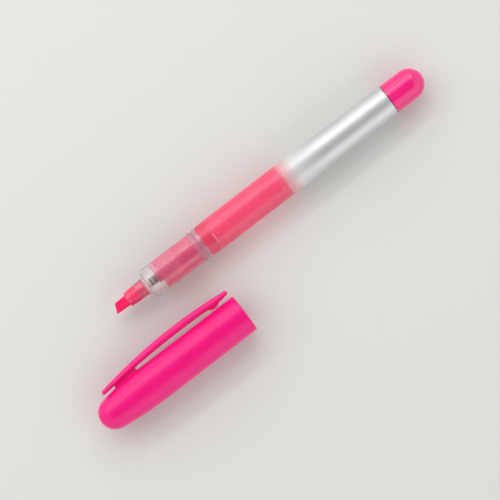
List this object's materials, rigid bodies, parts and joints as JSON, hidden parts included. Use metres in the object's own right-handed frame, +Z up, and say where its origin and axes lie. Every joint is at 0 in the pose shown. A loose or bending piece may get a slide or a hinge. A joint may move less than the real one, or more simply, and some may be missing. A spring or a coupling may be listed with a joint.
{
  "type": "highlighter pen",
  "caption": "Free-ink highlighter lying with its cap off: chisel nib, clear section with finned collector, clear ink barrel with silver film, domed tail plug, clip cap.",
  "frame": {"origin": "under the middle of the box round the pen and the cap beside it, on the surface they lie on", "axes": "+X along the pen's axis from nib to tail, +Y from the cap towards the pen, +Z up from the surface"},
  "size_m": [0.1456, 0.0372, 0.0128],
  "materials": {
    "nib_fibre": "ink-soaked bonded fibre, matt",
    "section_clear": "clear moulded plastic, polished",
    "collector_plastic": "translucent moulded plastic stained by ink",
    "barrel_clear": "clear moulded plastic, polished",
    "pink_ink": "fluorescent pink liquid ink",
    "silver_film": "metallised transfer film, satin, fading out at its front",
    "plug_pink": "hot pink moulded plastic, glossy",
    "cap_pink": "hot pink moulded plastic, satin",
    "liner_white": "natural milky moulded plastic"
  },
  "bodies": {
    "pen": {"nib": "nib_fibre", "front_section": "section_clear", "collector": "collector_plastic", "feed_wick": "nib_fibre", "barrel": "barrel_clear", "ink": "pink_ink", "tank_stopper": "barrel_clear", "silver_film": "silver_film", "tail_plug": "plug_pink"},
    "cap": {"cap_shell": "cap_pink", "inner_cap": "liner_white"},
    "clip_arm": {"clip_arm": "cap_pink"}
  },
  "joints": [
    {"name": "cap_draw", "type": "slide", "parent": "pen", "child": "cap", "axis": [-1, 0, 0], "range_m": [0, 0.034]},
    {"name": "clip_flex", "type": "hinge", "parent": "cap", "child": "clip_arm", "pos_m": [-0.0534, -0.00375, 0.0064], "axis": [0, 0, 1], "range_deg": [0, 4], "stiffness_Nm_per_rad": 0.05}
  ]
}
